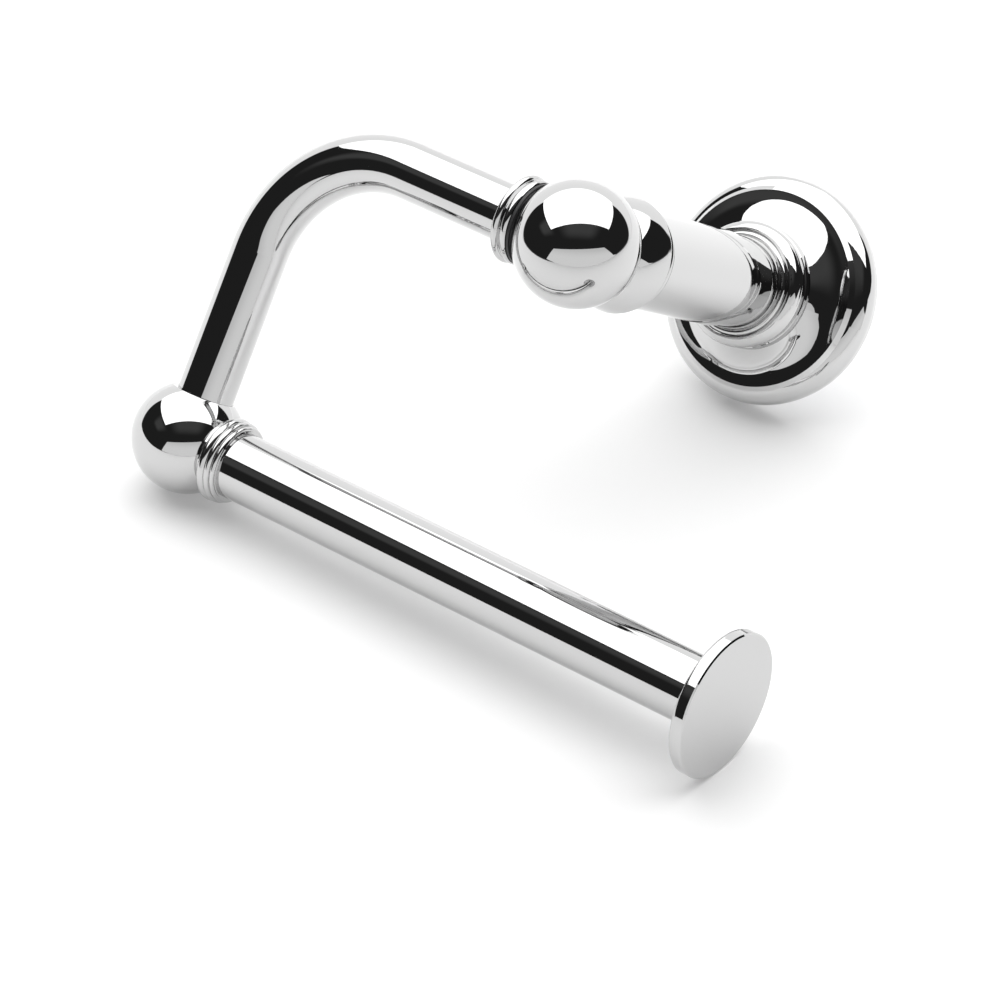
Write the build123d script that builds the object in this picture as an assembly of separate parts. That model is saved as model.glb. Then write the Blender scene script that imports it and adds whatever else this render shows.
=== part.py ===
from build123d import *
import math
import os

# Single-post toilet paper holder with a swinging arm, in millimetres, drawn as it hangs on the wall.
# +X runs along the roll bar towards its end disc, +Y goes into the wall and +Z is up.
# The origin is the centre of the flange's wall face.

# ---- driving dimensions ----
PROJECTION = 91.0           # wall face to the centre of the hub ball
ARM_DROP = 70.8             # hub ball's centre down to the roll bar's axis
LEG_OFFSET = 70.3           # hub ball's centre across to the leg's axis
HUB_BALL_R = 13.2
LOWER_BALL_R = 11.9
LOWER_BALL_OUT = 0.5        # the lower ball sits a little outboard of the leg's axis
LOWER_BALL_UP = 0.6         # and a little above the roll bar's axis
TUBE_R = 6.1                # arm and leg
TUBE_WALL = 1.1
BEND_R = 28.0               # elbow, on the tube's centre line
BAR_R = 7.2
BAR_WALL = 1.2
POST_R = 10.3
POST_WALL = 2.0
DISC_R = 15.5
DISC_THICKNESS = 3.0
DISC_FACE = 139.4           # leg's axis to the disc's outer face
CHAMFER = 0.3
M4_R, M5_R, M6_R, M8_R = 2.0, 2.5, 3.0, 4.0

# ---- stack along the post, from the hub ball's centre towards the wall ----
HUB_BACK = 9.4              # flat at the back of the hub ball
CAP_END = 18.1
CAP_R = 12.2
CAP_RING_END = 20.6
CAP_RING_R = 11.6
FRONT_PLUG_END = 34.0
REAR_PLUG_START = 48.0
POST_END = 59.9
FERRULE_END = 69.6
NECK_RING_END = 70.95
FLANGE_NECK_END = 77.5
FLANGE_WEB_END = 79.6
SHELL_INNER_R = 20.6
FLANGE_R = 24.9
FLANGE_FOOT_R = 22.9        # where the flange meets the wall

# ---- wall bracket ----
BRACKET_R = 18.4
BRACKET_LIP_R = 15.9        # inside of the raised lip
BRACKET_PLATE = 3.0
BRACKET_DEPTH = 6.4
SCREW_SPACING = 22.0
SCREW_HOLE_R = 2.25
COUNTERSINK_R = 4.2
GRUB_PLACE = PROJECTION - 3.4

# ---- swing joint, from the hub ball's centre out along the arm ----
BORE_END = 1.2              # blind end of the hub's bore
NECK_END = 10.6
NECK_R = 8.0
WASHER_END = 11.2
WASHER_R = 8.7
COLLAR_START = 11.4
TUBE_START = 12.4
COLLAR_END = 15.1
JOURNAL_PLUG_END = 24.0
JOURNAL_R = 4.5
JOURNAL_GAP = 0.05          # radial running clearance in the bush
BUSH_R = 5.5
STOP_PLACE = 5.6            # retaining screw and the stop groove that it runs in
STOP_TIP_R = 1.5
STOP_TIP_END = 3.7
STOP_GROOVE_R = 3.3
STOP_GAP = 0.4
SWING_IN = 25.0             # degrees from hanging, towards the wall
SWING_OUT = 100.0           # degrees from hanging, outwards and up

# ---- leg and lower ball, above the roll bar's axis ----
LEG_START = 8.2
LEG_FLAT = 10.3             # flat on top of the lower ball
LEG_STUD_START = 4.4

# ---- roll bar, out from the leg's axis ----
BAR_NECK_R = 7.6
BAR_COLLAR_START = 9.7
BAR_START = 11.5
BAR_COLLAR_END = 14.0
BAR_STUD_START = -2.0
DISC_BACK = DISC_FACE - DISC_THICKNESS

HUB = (0, -PROJECTION, 0)
LEG_FOOT = (-LEG_OFFSET, -PROJECTION, -ARM_DROP)
LOWER_BALL = (-LEG_OFFSET - LOWER_BALL_OUT, -PROJECTION, -ARM_DROP + LOWER_BALL_UP)

# Frames whose +Z runs along each turned axis.
POST = Plane(origin=HUB, x_dir=(1, 0, 0), z_dir=(0, 1, 0))
ARM = Plane(origin=HUB, x_dir=(0, 1, 0), z_dir=(-1, 0, 0))
BAR = Plane(origin=LEG_FOOT, x_dir=(0, 1, 0), z_dir=(1, 0, 0))
LEG = Plane(origin=LEG_FOOT, x_dir=(1, 0, 0), z_dir=(0, 0, 1))
LOWER_CENTRE = Plane(origin=LOWER_BALL, x_dir=(0, 1, 0), z_dir=(1, 0, 0))
STOP_SCREW = Plane(origin=(-STOP_PLACE, -PROJECTION, 0), x_dir=(1, 0, 0), z_dir=(0, 0, -1))
GRUB_SCREW = Plane(origin=(0, GRUB_PLACE - PROJECTION, 0), x_dir=(1, 0, 0), z_dir=(0, 0, -1))


def turned(frame, start, *steps):
    """Revolve a closed outline of (radius, distance) points about a frame's +Z.

    A step of one point is a straight run. A step of two points is an arc through the
    first to the second.
    """
    edges = []
    here = start
    for step in steps:
        if isinstance(step[0], tuple):
            edges.append(ThreePointArc(here, step[0], step[1]))
            here = step[1]
        else:
            edges.append(Line(here, step))
            here = step
    edges.append(Line(here, start))
    return frame * revolve(Plane.XZ * make_face(edges), Axis.Z, 360)


def cylinder(frame, radius, start, end):
    return turned(frame, (0, start), (radius, start), (radius, end), (0, end))


def tube(frame, inner, outer, start, end):
    return turned(frame, (inner, start), (outer, start), (outer, end), (inner, end))


def threaded_rod(frame, radius, start, end):
    """Plain core of a thread, with both ends chamfered."""
    return turned(
        frame,
        (0, start),
        (radius - CHAMFER, start),
        (radius, start + CHAMFER),
        (radius, end - CHAMFER),
        (radius - CHAMFER, end),
        (0, end),
    )


def necked_ball(frame, radius, neck_r, neck_end):
    """Ball about a frame's origin with a cylindrical neck along its +Z."""
    neck_start = math.sqrt(radius**2 - neck_r**2)
    return turned(
        frame,
        (0, -radius),
        ((radius, 0.0), (neck_r, neck_start)),
        (neck_r, neck_end),
        (0, neck_end),
    )


def hexagon(frame, across_flats, start, end):
    outline = RegularPolygon(across_flats / 2, 6, major_radius=False)
    return frame * Pos(0, 0, start) * extrude(outline, end - start)


def bead(high_r, low_r, start, end):
    """Outline step that swells to high_r and comes back to low_r at the end."""
    return ((high_r, (start + end) / 2), (low_r, end))


# ---- wall fixing ----


def make_wall_bracket():
    """Round steel cup that is screwed to the wall, with a lip for the grub screw to press on."""
    front = PROJECTION - BRACKET_PLATE
    lip = PROJECTION - BRACKET_DEPTH
    cup = turned(
        POST,
        (0, front),
        (BRACKET_LIP_R, front),
        (BRACKET_LIP_R, lip),
        (BRACKET_R - CHAMFER, lip),
        (BRACKET_R, lip + CHAMFER),
        (BRACKET_R, PROJECTION),
        (0, PROJECTION),
    )
    for side in (-1, 1):
        sink = turned(
            Plane.XY,
            (0, front - 1),
            (COUNTERSINK_R, front - 1),
            (COUNTERSINK_R, front),
            (SCREW_HOLE_R, front + COUNTERSINK_R - SCREW_HOLE_R),
            (SCREW_HOLE_R, PROJECTION + 1),
            (0, PROJECTION + 1),
        )
        cup -= POST * Pos(0, side * SCREW_SPACING / 2, 0) * sink
    return cup


def make_wall_flange():
    """Hollow turned rose: two neck rings, a hollow face, a small step and a round rim."""
    shell = turned(
        POST,
        (M8_R, NECK_RING_END),
        (11.2, NECK_RING_END),
        ((11.65, 70.92), (12.0, 70.7)),
        ((12.25, 70.78), (12.5, 71.0)),
        ((13.25, 71.8), (13.65, 72.8)),
        (13.15, 73.1),
        (13.05, 73.6),
        ((13.42, 74.5), (13.2, 75.5)),
        (13.2, 75.8),
        (13.45, 75.9),
        (13.6, FLANGE_NECK_END),
        ((17.7, 79.86), (21.38, 80.46)),
        (21.45, 80.52),
        (22.3, 81.36),
        ((23.7, 82.14), (24.62, 83.33)),
        ((FLANGE_R, 84.6), (24.56, 87.1)),
        ((24.1, 88.4), (FLANGE_FOOT_R, 89.25)),
        (FLANGE_FOOT_R, PROJECTION),
        (SHELL_INNER_R, PROJECTION),
        (SHELL_INNER_R, 84.8),
        ((17.6, 82.2), (12.0, FLANGE_WEB_END)),
        (M8_R, FLANGE_WEB_END),
    )
    return shell - cylinder(GRUB_SCREW, M4_R, BRACKET_R, 26)


def make_flange_grub_screw():
    screw = threaded_rod(GRUB_SCREW, M4_R, BRACKET_R, 23.8)
    return screw - hexagon(GRUB_SCREW, 2.0, 21.6, 23.8)


def make_flange_washer():
    return tube(POST, M8_R, 8.0, FLANGE_WEB_END, FLANGE_WEB_END + 1.2)


def make_flange_nut():
    start = FLANGE_WEB_END + 1.2
    return hexagon(POST, 13.0, start, start + 5.0) - cylinder(POST, M8_R, start, start + 5.0)


# ---- post ----


def make_neck_ring():
    """Fine bead behind a groove, between the ferrule and the flange."""
    return turned(
        POST,
        (M8_R, FERRULE_END),
        (9.95, FERRULE_END),
        (9.95, 70.1),
        (10.2, 70.1),
        ((10.75, 70.12), (11.15, 70.5)),
        (11.2, NECK_RING_END),
        (M8_R, NECK_RING_END),
    )


def make_neck_ferrule():
    """Slightly tapered foot of the post, a little slimmer than the post itself."""
    return turned(
        POST,
        (M8_R, POST_END),
        (9.8, POST_END),
        (10.15, FERRULE_END - 0.3),
        ((10.1, FERRULE_END - 0.1), (9.95, FERRULE_END)),
        (M8_R, FERRULE_END),
    )


def make_post_stud():
    return threaded_rod(POST, M8_R, REAR_PLUG_START + 2, FLANGE_WEB_END + 7.6)


def make_post_rear_plug():
    return tube(POST, M8_R, POST_R - POST_WALL, REAR_PLUG_START, POST_END)


def make_post_tube():
    return turned(
        POST,
        (POST_R - POST_WALL, CAP_RING_END),
        (POST_R, CAP_RING_END),
        (POST_R, POST_END - CHAMFER),
        ((POST_R - 0.06, POST_END - 0.1), (POST_R - 0.25, POST_END)),
        (POST_R - POST_WALL, POST_END),
    )


def make_post_front_plug():
    return tube(POST, M6_R, POST_R - POST_WALL, CAP_RING_END, FRONT_PLUG_END)


def make_cap_ring():
    return turned(
        POST,
        (M6_R, CAP_END),
        (11.0, CAP_END),
        (11.1, CAP_END + 0.6),
        bead(CAP_RING_R, 11.2, CAP_END + 0.6, CAP_RING_END),
        (M6_R, CAP_RING_END),
    )


def make_post_cap():
    """Gently domed collar between the hub ball and the post."""
    rim = CAP_END - 0.6
    return turned(
        POST,
        (M6_R, HUB_BACK),
        (9.2, HUB_BACK),
        ((11.2, (HUB_BACK + rim) / 2), (CAP_R, rim)),
        bead(CAP_R - 0.05, CAP_R - 0.4, rim, CAP_END),
        (M6_R, CAP_END),
    )


def make_hub_stud():
    return threaded_rod(POST, M6_R, 6.6, 31.0)


# ---- hub and swing joint ----


def make_hub_ball():
    """Fixed ball: flat at the back for the post, short neck and blind bore towards the arm."""
    body = necked_ball(ARM, HUB_BALL_R, NECK_R, NECK_END)
    body -= cylinder(POST, HUB_BALL_R, HUB_BACK, HUB_BALL_R + 1)
    body -= cylinder(POST, M6_R, 6.4, HUB_BACK)
    body -= cylinder(ARM, BUSH_R, BORE_END, NECK_END)
    body -= cylinder(STOP_SCREW, M4_R, 0, HUB_BALL_R)
    return body


def make_pivot_bush():
    sleeve = tube(ARM, JOURNAL_R + JOURNAL_GAP, BUSH_R, BORE_END + 0.4, NECK_END)
    return sleeve - cylinder(STOP_SCREW, M4_R, 0, HUB_BALL_R)


def make_thrust_washer():
    return tube(ARM, JOURNAL_R + JOURNAL_GAP, WASHER_R, NECK_END, WASHER_END)


def make_retaining_screw():
    """Grub screw with a dog tip that keeps the journal in and stops its swing."""
    screw = turned(
        STOP_SCREW,
        (0, STOP_TIP_END),
        (STOP_TIP_R, STOP_TIP_END),
        (STOP_TIP_R, BUSH_R),
        (M4_R, BUSH_R + CHAMFER),
        (M4_R, 11.4),
        (M4_R - CHAMFER, 11.7),
        (0, 11.7),
    )
    return screw - hexagon(STOP_SCREW, 2.0, 9.5, 11.7)


def make_pivot_journal():
    """Turned pin that plugs the arm tube and swings in the bush."""
    body = turned(
        ARM,
        (0, BORE_END + 0.8),
        (JOURNAL_R - CHAMFER, BORE_END + 0.8),
        (JOURNAL_R, BORE_END + 0.8 + CHAMFER),
        (JOURNAL_R, TUBE_START),
        (TUBE_R - TUBE_WALL, TUBE_START),
        (TUBE_R - TUBE_WALL, JOURNAL_PLUG_END),
        (0, JOURNAL_PLUG_END),
    )
    tip_half = math.degrees(math.asin((STOP_TIP_R + STOP_GAP) / STOP_TIP_END))
    span = SWING_IN + SWING_OUT + 2 * tip_half
    # In the arm's frame 0 degrees points at the wall and 90 degrees points straight down.
    first = 90 - SWING_OUT - tip_half
    width = 2 * (STOP_TIP_R + STOP_GAP)
    on_axis = (Align.NONE, Align.NONE, Align.CENTER)
    groove = Rot(0, 0, first) * Cylinder(JOURNAL_R + 1, width, arc_size=span, align=on_axis)
    groove -= Cylinder(STOP_GROOVE_R, width)
    return body - ARM * Pos(0, 0, STOP_PLACE) * groove


def make_arm_collar():
    return turned(
        ARM,
        (JOURNAL_R, COLLAR_START),
        (8.8, COLLAR_START),
        bead(9.1, 8.7, COLLAR_START, 12.9),
        (8.4, 13.1),
        (8.7, 13.3),
        bead(9.4, 8.8, 13.3, COLLAR_END - 0.1),
        (8.5, COLLAR_END),
        (TUBE_R, COLLAR_END),
        (TUBE_R, TUBE_START),
        (JOURNAL_R, TUBE_START),
    )


# ---- arm and lower ball ----


def make_arm_tube():
    """Tube bent once, from the hub's collar round the elbow and down to the lower ball."""
    start = Vector(-TUBE_START, -PROJECTION, 0)
    bend_in = Vector(-LEG_OFFSET + BEND_R, -PROJECTION, 0)
    bend_out = Vector(-LEG_OFFSET, -PROJECTION, -BEND_R)
    foot = Vector(-LEG_OFFSET, -PROJECTION, -ARM_DROP + LEG_START)
    bend_centre = Vector(-LEG_OFFSET + BEND_R, -PROJECTION, -BEND_R)
    half = BEND_R * math.sqrt(0.5)
    crown = bend_centre + Vector(-half, 0, half)
    path = Wire([Line(start, bend_in), ThreePointArc(bend_in, crown, bend_out), Line(bend_out, foot)])
    section = ARM.offset(TUBE_START) * (Circle(TUBE_R) - Circle(TUBE_R - TUBE_WALL))
    return sweep(section, path)


def make_leg_plug():
    return tube(LEG, M5_R, TUBE_R - TUBE_WALL, LEG_START, 22.0)


def make_leg_stud():
    return threaded_rod(LEG, M5_R, LEG_STUD_START, 19.0)


def make_lower_ball():
    """Ball with a socket for the leg on top and a short neck for the roll bar."""
    body = necked_ball(LOWER_CENTRE, LOWER_BALL_R, BAR_NECK_R, BAR_COLLAR_START + LOWER_BALL_OUT)
    body -= cylinder(LEG, LOWER_BALL_R, LEG_FLAT, LOWER_BALL_R + LOWER_BALL_UP + 1)
    body -= cylinder(LEG, TUBE_R, LEG_START, LEG_FLAT)
    body -= cylinder(LEG, M5_R, LEG_STUD_START - 0.2, LEG_START)
    body -= cylinder(BAR, M6_R, BAR_STUD_START - 0.2, BAR_COLLAR_START)
    return body


# ---- roll bar ----


def make_bar_stud():
    return threaded_rod(BAR, M6_R, BAR_STUD_START, 23.0)


def make_bar_collar():
    return turned(
        BAR,
        (M6_R, BAR_COLLAR_START),
        (8.6, BAR_COLLAR_START),
        bead(9.2, 8.6, BAR_COLLAR_START, 11.6),
        bead(9.0, 8.3, 11.6, 12.9),
        bead(8.5, 7.7, 12.9, BAR_COLLAR_END - 0.1),
        (7.5, BAR_COLLAR_END),
        (BAR_R, BAR_COLLAR_END),
        (BAR_R, BAR_START),
        (M6_R, BAR_START),
    )


def make_bar_root_plug():
    return tube(BAR, M6_R, BAR_R - BAR_WALL, BAR_START, 26.0)


def make_bar_tube():
    return tube(BAR, BAR_R - BAR_WALL, BAR_R, BAR_START, DISC_BACK)


def make_bar_end_plug():
    return tube(BAR, M6_R, BAR_R - BAR_WALL, DISC_BACK - 14, DISC_BACK)


def make_end_disc():
    """Flat disc that keeps the roll on, with a threaded spigot behind it."""
    spigot = DISC_BACK - 12
    return turned(
        BAR,
        (0, spigot),
        (M6_R - CHAMFER, spigot),
        (M6_R, spigot + CHAMFER),
        (M6_R, DISC_BACK),
        (DISC_R - 0.8, DISC_BACK),
        ((DISC_R - 0.2, DISC_BACK + 0.3), (DISC_R, DISC_BACK + 1.0)),
        (DISC_R, DISC_FACE - CHAMFER),
        (DISC_R - CHAMFER, DISC_FACE),
        (0, DISC_FACE),
    )


PARTS = {
    "wall_bracket": make_wall_bracket,
    "wall_flange": make_wall_flange,
    "flange_grub_screw": make_flange_grub_screw,
    "flange_washer": make_flange_washer,
    "flange_nut": make_flange_nut,
    "neck_ring": make_neck_ring,
    "neck_ferrule": make_neck_ferrule,
    "post_stud": make_post_stud,
    "post_rear_plug": make_post_rear_plug,
    "post_tube": make_post_tube,
    "post_front_plug": make_post_front_plug,
    "hub_stud": make_hub_stud,
    "cap_ring": make_cap_ring,
    "post_cap": make_post_cap,
    "hub_ball": make_hub_ball,
    "pivot_bush": make_pivot_bush,
    "thrust_washer": make_thrust_washer,
    "retaining_screw": make_retaining_screw,
    "pivot_journal": make_pivot_journal,
    "arm_collar": make_arm_collar,
    "arm_tube": make_arm_tube,
    "leg_plug": make_leg_plug,
    "leg_stud": make_leg_stud,
    "lower_ball": make_lower_ball,
    "bar_stud": make_bar_stud,
    "bar_collar": make_bar_collar,
    "bar_root_plug": make_bar_root_plug,
    "bar_tube": make_bar_tube,
    "bar_end_plug": make_bar_end_plug,
    "end_disc": make_end_disc,
}

os.makedirs("parts", exist_ok=True)
for name, make in PARTS.items():
    export_step(make(), f"parts/{name}.step")
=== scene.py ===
"""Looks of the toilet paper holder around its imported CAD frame: polished chrome in a white studio.

Lengths are in metres, in the row frame: +X along the roll bar, +Y into the wall, +Z up.
The holder lies on a white floor, on its flange, lower ball and end disc, so the studio is tilted
in this frame.
"""

import math

import bpy
from mathutils import Matrix, Vector


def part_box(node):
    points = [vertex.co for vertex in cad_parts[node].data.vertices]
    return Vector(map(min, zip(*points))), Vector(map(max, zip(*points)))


# ---- studio axes and camera ----
FLOOR_UP = Vector((0.0296, -0.5684, 0.8222)).normalized()
TOWARDS_RIGHT = Vector((0.7994, 0.5073, 0.3219))
FLOOR_RIGHT = (TOWARDS_RIGHT - TOWARDS_RIGHT.dot(FLOOR_UP) * FLOOR_UP).normalized()
FLOOR_FRONT = FLOOR_RIGHT.cross(FLOOR_UP)
HUB_HEIGHT = 0.0717            # hub ball's centre above the floor

CAMERA_PLACE = Vector((0.45554, -0.87994, 0.07102))
CAMERA_AIM = Vector((-0.00141, -0.07984, -0.05521))
CAMERA_ROLL = math.radians(2.27)
CAMERA_LENS = 164.2            # millimetres, on a 36 mm sensor

# ---- studio outlines, as right, front and up from the hub ball's centre ----
PANEL = (
    (-1.10, 0.46, 1.0),
    (1.38, 0.24, 1.0),
    (1.38, -1.60, 1.0),
    (-1.43, -1.60, 1.0),
)
FLOOR = (
    (-0.49, 1.2, -HUB_HEIGHT),
    (1.37, 1.2, -HUB_HEIGHT),
    (1.37, -1.5, -HUB_HEIGHT),
    (-0.49, -1.5, -HUB_HEIGHT),
)

# The card leans back from its foot: a straight left side, a straight top and a right side in two runs.
# Its outline is given as right and up for each metre ahead.
CARD_FOOT = 0.717
CARD_LEAN = 0.79
CARD_OUTLINE = (
    (-1.20, -0.10),
    (-0.92, 0.42),
    (1.30, 0.55),
    (2.20, 0.00),
    (3.00, -0.10),
)

# The sweep starts a little behind the hub ball and lower on its left than on its right.
SWEEP_START = 0.13
SWEEP_DROP_LEFT = 0.16
SWEEP_DROP_RIGHT = 0.05
SWEEP_SOFTNESS = 0.03

# Faint glows on the ceiling: soft right and left limits, then soft front and back limits, for each metre up.
PATCHES = (
    ((-0.8, -0.2), (1.0, 0.4), (1.2, 0.6), (0.0, 0.3)),
    ((-2.3, -1.7), (-0.9, -1.3), (0.9, 0.4), (-0.3, 0.1)),
)

# ---- studio brightness ----
PANEL_LIGHT = 2.3
CARD_TOP_LIGHT = 0.80
CARD_BASE_LIGHT = 1.00
CARD_FADE_START = 0.1          # metres above the hub ball's centre
CARD_FADE_END = 0.6
SWEEP_LIGHT = 1.25
ROOM_DARK = 0.02
PATCH_LIGHT = 0.05
FLOOR_ALBEDO = 0.85
FLOOR_GLOW = 0.17


# ---- variation within a finish ----
TINT_SPREAD = 0.03
CLOUD_SCALE = 0.17             # of the colour clouds, against the grain's 1
GRAIN_DETAIL = 3.0
GRAIN_LOW, GRAIN_HIGH = 0.3, 0.7


class Nodes:
    """Adds and links the nodes of one shader tree."""

    def __init__(self, owner):
        owner.use_nodes = True
        self.tree = owner.node_tree
        self.tree.nodes.clear()

    def add(self, kind, **settings):
        node = self.tree.nodes.new(kind)
        for name, value in settings.items():
            setattr(node, name, value)
        return node

    def plug(self, socket, value):
        if isinstance(value, bpy.types.NodeSocket):
            self.tree.links.new(value, socket)
        else:
            socket.default_value = value

    def math(self, operation, *values):
        node = self.add("ShaderNodeMath", operation=operation)
        for socket, value in zip(node.inputs, values):
            self.plug(socket, value)
        return node.outputs[0]

    def dot(self, vector, direction):
        node = self.add("ShaderNodeVectorMath", operation="DOT_PRODUCT")
        self.plug(node.inputs[0], vector)
        self.plug(node.inputs[1], direction)
        return node.outputs["Value"]

    def step(self, value, low, high, start=0.0, end=1.0):
        """Smooth change from start to end while the value goes from low to high."""
        node = self.add("ShaderNodeMapRange", interpolation_type="SMOOTHSTEP")
        self.plug(node.inputs["Value"], value)
        self.plug(node.inputs["From Min"], low)
        self.plug(node.inputs["From Max"], high)
        self.plug(node.inputs["To Min"], start)
        self.plug(node.inputs["To Max"], end)
        return node.outputs["Result"]

    def mix(self, share, low, high):
        node = self.add("ShaderNodeMix", data_type="FLOAT")
        self.plug(node.inputs["Factor"], share)
        self.plug(node.inputs["A"], low)
        self.plug(node.inputs["B"], high)
        return node.outputs["Result"]

    def grey(self, level):
        node = self.add("ShaderNodeCombineColor")
        for socket in node.inputs[:3]:
            self.plug(socket, level)
        return node.outputs[0]

    def noise(self, vector, scale, detail=2.0):
        node = self.add("ShaderNodeTexNoise")
        self.plug(node.inputs["Vector"], vector)
        self.plug(node.inputs["Scale"], scale)
        self.plug(node.inputs["Detail"], detail)
        return node.outputs["Fac"]

    def stretched(self, scale):
        """The piece's own coordinates, scaled along each axis."""
        node = self.add("ShaderNodeMapping")
        self.plug(node.inputs["Vector"], self.add("ShaderNodeTexCoord").outputs["Object"])
        self.plug(node.inputs["Scale"], scale)
        return node.outputs["Vector"]

    def bump(self, height, distance):
        node = self.add("ShaderNodeBump")
        self.plug(node.inputs["Height"], height)
        self.plug(node.inputs["Distance"], distance)
        return node.outputs["Normal"]


# ---- camera and studio ----


def add_camera():
    data = bpy.data.cameras.new("camera")
    data.lens = CAMERA_LENS
    data.sensor_width = 36.0
    data.clip_start = 0.01
    data.clip_end = 20.0
    camera = bpy.data.objects.new("camera", data)
    bpy.context.scene.collection.objects.link(camera)
    back = (CAMERA_PLACE - CAMERA_AIM).normalized()
    right = FLOOR_UP.cross(back).normalized()
    level = Matrix((right, back.cross(right), back)).transposed().to_4x4()
    camera.matrix_world = Matrix.Translation(CAMERA_PLACE) @ level @ Matrix.Rotation(CAMERA_ROLL, 4, "Z")
    bpy.context.scene.camera = camera


def add_room():
    """Dark room with a white sweep that curves up behind the holder, and two faint glows on the ceiling.

    It is plain white where the camera looks past everything.
    """
    world = bpy.data.worlds.new("room")
    bpy.context.scene.world = world
    n = Nodes(world)
    way = n.add("ShaderNodeTexCoord").outputs["Generated"]
    right = n.dot(way, FLOOR_RIGHT)
    front = n.dot(way, FLOOR_FRONT)
    up = n.dot(way, FLOOR_UP)
    aside = n.math("MAXIMUM", n.math("ABSOLUTE", right), 1e-3)
    behind = n.math("MINIMUM", n.math("ADD", n.math("DIVIDE", front, aside), SWEEP_START), 0.0)
    curve = n.math("MULTIPLY", behind, behind)
    drop = n.step(right, -0.1, 0.1, SWEEP_DROP_LEFT, SWEEP_DROP_RIGHT)
    above = n.math("SUBTRACT", n.math("ADD", n.math("DIVIDE", up, aside), drop), curve)
    level = n.step(above, -SWEEP_SOFTNESS, SWEEP_SOFTNESS, SWEEP_LIGHT, ROOM_DARK)
    rise = n.math("MAXIMUM", up, 1e-4)
    ahead = n.math("DIVIDE", front, rise)
    across = n.math("DIVIDE", right, rise)
    for place in PATCHES:
        glow = n.math("MULTIPLY", n.step(across, *place[0]), n.step(across, *place[1]))
        glow = n.math("MULTIPLY", glow, n.step(ahead, *place[2]))
        glow = n.math("MULTIPLY", glow, n.step(ahead, *place[3]))
        level = n.math("ADD", level, n.math("MULTIPLY", glow, PATCH_LIGHT))
    level = n.mix(n.add("ShaderNodeLightPath").outputs["Is Camera Ray"], level, 1.0)
    background = n.add("ShaderNodeBackground")
    n.plug(background.inputs["Color"], n.grey(level))
    n.plug(n.add("ShaderNodeOutputWorld").inputs["Surface"], background.outputs[0])


def on_card(across, rise):
    """Point of the leaning card that is seen from the hub ball in a given direction."""
    ahead = (CARD_FOOT + CARD_LEAN * HUB_HEIGHT) / (1.0 - CARD_LEAN * rise)
    return (across * ahead, ahead, rise * ahead)


def add_sheet(name, outline, material, seen):
    """Flat studio sheet, from its outline around the hub ball."""
    hub = hub_centre()
    corners = [
        hub + across * FLOOR_RIGHT + ahead * FLOOR_FRONT + rise * FLOOR_UP
        for across, ahead, rise in outline
    ]
    mesh = bpy.data.meshes.new(name)
    mesh.from_pydata(corners, [], [tuple(range(len(corners)))])
    mesh.materials.append(material)
    sheet = bpy.data.objects.new(name, mesh)
    sheet.visible_camera = seen
    bpy.context.scene.collection.objects.link(sheet)


def hub_centre():
    low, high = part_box("hub_ball")
    half_height = (high.z - low.z) / 2
    return Vector((0.0, low.y + half_height, (low.z + high.z) / 2))


def panel_light():
    material = bpy.data.materials.new("panel_light")
    n = Nodes(material)
    glow = n.add("ShaderNodeEmission")
    n.plug(glow.inputs["Strength"], PANEL_LIGHT)
    n.plug(n.add("ShaderNodeOutputMaterial").inputs["Surface"], glow.outputs[0])
    return material


def card_light():
    """Pale card that is a little brighter at its foot."""
    material = bpy.data.materials.new("card_light")
    n = Nodes(material)
    place = n.add("ShaderNodeTexCoord").outputs["Object"]
    height = n.dot(place, FLOOR_UP)
    base = hub_centre().dot(FLOOR_UP)
    level = n.step(height, base + CARD_FADE_START, base + CARD_FADE_END, CARD_BASE_LIGHT, CARD_TOP_LIGHT)
    glow = n.add("ShaderNodeEmission")
    n.plug(glow.inputs["Strength"], level)
    n.plug(n.add("ShaderNodeOutputMaterial").inputs["Surface"], glow.outputs[0])
    return material


def floor_white():
    """Matt white, faintly lit from below, and see-through from below so that every side can be viewed."""
    material = bpy.data.materials.new("floor_white")
    n = Nodes(material)
    matt = n.add("ShaderNodeBsdfDiffuse")
    n.plug(matt.inputs["Color"], (FLOOR_ALBEDO, FLOOR_ALBEDO, FLOOR_ALBEDO, 1.0))
    glow = n.add("ShaderNodeEmission")
    n.plug(glow.inputs["Strength"], FLOOR_GLOW)
    lit = n.add("ShaderNodeAddShader")
    n.plug(lit.inputs[0], matt.outputs[0])
    n.plug(lit.inputs[1], glow.outputs[0])
    seen_below = n.math(
        "MULTIPLY",
        n.add("ShaderNodeNewGeometry").outputs["Backfacing"],
        n.add("ShaderNodeLightPath").outputs["Is Camera Ray"],
    )
    both = n.add("ShaderNodeMixShader")
    n.plug(both.inputs[0], seen_below)
    n.plug(both.inputs[1], lit.outputs[0])
    n.plug(both.inputs[2], n.add("ShaderNodeBsdfTransparent").outputs[0])
    n.plug(n.add("ShaderNodeOutputMaterial").inputs["Surface"], both.outputs[0])
    return material


# ---- the holder's materials ----


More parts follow.
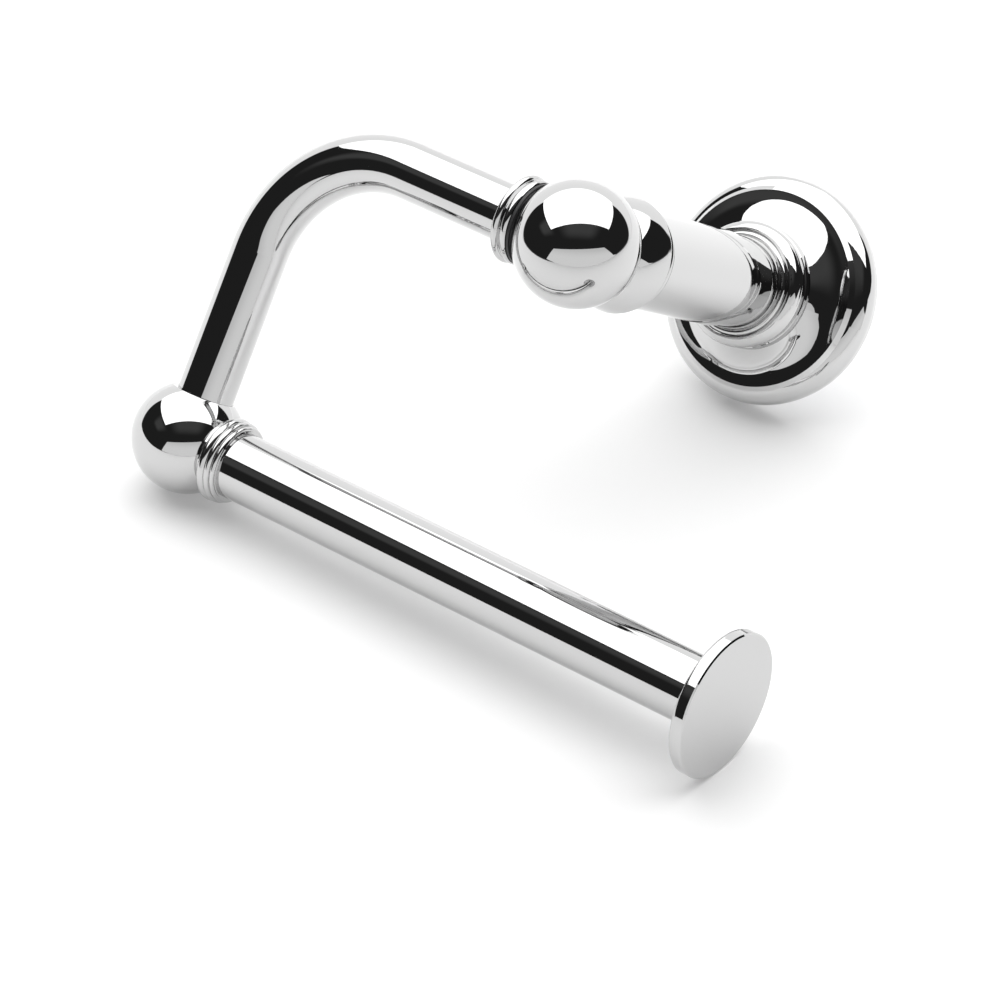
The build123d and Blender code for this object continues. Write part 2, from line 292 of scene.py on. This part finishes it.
def surface(name, colour, metallic, scale, roughness, relief):
    """Finish whose colour, roughness and relief vary a little with noise in the piece's own coordinates."""
    material = bpy.data.materials.new(name)
    n = Nodes(material)
    place = n.stretched(scale)
    grain = n.noise(place, 1.0, GRAIN_DETAIL)
    cloud = n.noise(place, CLOUD_SCALE)
    shader = n.add("ShaderNodeBsdfPrincipled")
    tint = n.add("ShaderNodeMix", data_type="RGBA")
    n.plug(tint.inputs["Factor"], cloud)
    n.plug(tint.inputs[6], tuple((1.0 - TINT_SPREAD) * part for part in colour) + (1.0,))
    n.plug(tint.inputs[7], tuple((1.0 + TINT_SPREAD) * part for part in colour) + (1.0,))
    n.plug(shader.inputs["Base Color"], tint.outputs[2])
    n.plug(shader.inputs["Metallic"], metallic)
    n.plug(shader.inputs["Roughness"], n.step(grain, GRAIN_LOW, GRAIN_HIGH, *roughness))
    n.plug(shader.inputs["Normal"], n.bump(grain, relief))
    n.plug(n.add("ShaderNodeOutputMaterial").inputs["Surface"], shader.outputs[0])
    return material


# Colour, metallic, scale of the variation, roughness range and relief, for each of the record's slots.
FINISHES = {
    "chrome": surface(
        "polished_chrome", (0.573, 0.573, 0.573), 1.0, (60.0, 60.0, 60.0), (0.018, 0.030), 1e-7
    ),
    "brass": surface(
        "turned_brass", (0.72, 0.53, 0.22), 1.0, (900.0, 120.0, 900.0), (0.22, 0.36), 4e-6
    ),
    "steel": surface(
        "plain_steel", (0.56, 0.56, 0.57), 1.0, (500.0, 500.0, 500.0), (0.28, 0.42), 4e-6
    ),
    "bracket_steel": surface(
        "zinc_steel", (0.62, 0.63, 0.66), 1.0, (240.0, 240.0, 1200.0), (0.30, 0.46), 6e-6
    ),
    "bush_plastic": surface(
        "nylon", (0.84, 0.83, 0.78), 0.0, (400.0, 400.0, 400.0), (0.38, 0.50), 5e-6
    ),
    "washer_plastic": surface(
        "black_washer", (0.02, 0.02, 0.021), 0.0, (700.0, 700.0, 700.0), (0.40, 0.55), 5e-6
    ),
}

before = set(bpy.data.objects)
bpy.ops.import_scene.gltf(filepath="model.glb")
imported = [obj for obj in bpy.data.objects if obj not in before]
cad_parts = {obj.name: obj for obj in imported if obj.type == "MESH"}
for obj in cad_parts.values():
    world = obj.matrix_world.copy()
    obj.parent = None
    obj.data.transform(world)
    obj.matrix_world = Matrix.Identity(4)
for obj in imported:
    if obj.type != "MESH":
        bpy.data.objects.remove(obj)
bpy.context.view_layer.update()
add_camera()
add_room()
add_sheet("panel", PANEL, panel_light(), False)
add_sheet("card", [on_card(across, rise) for across, rise in CARD_OUTLINE], card_light(), False)
add_sheet("floor", FLOOR, floor_white(), True)
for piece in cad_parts.values():
    for slot in piece.material_slots:
        slot.material = FINISHES[slot.material.name.split(".")[0]]

bpy.context.scene.view_settings.view_transform = "Standard"
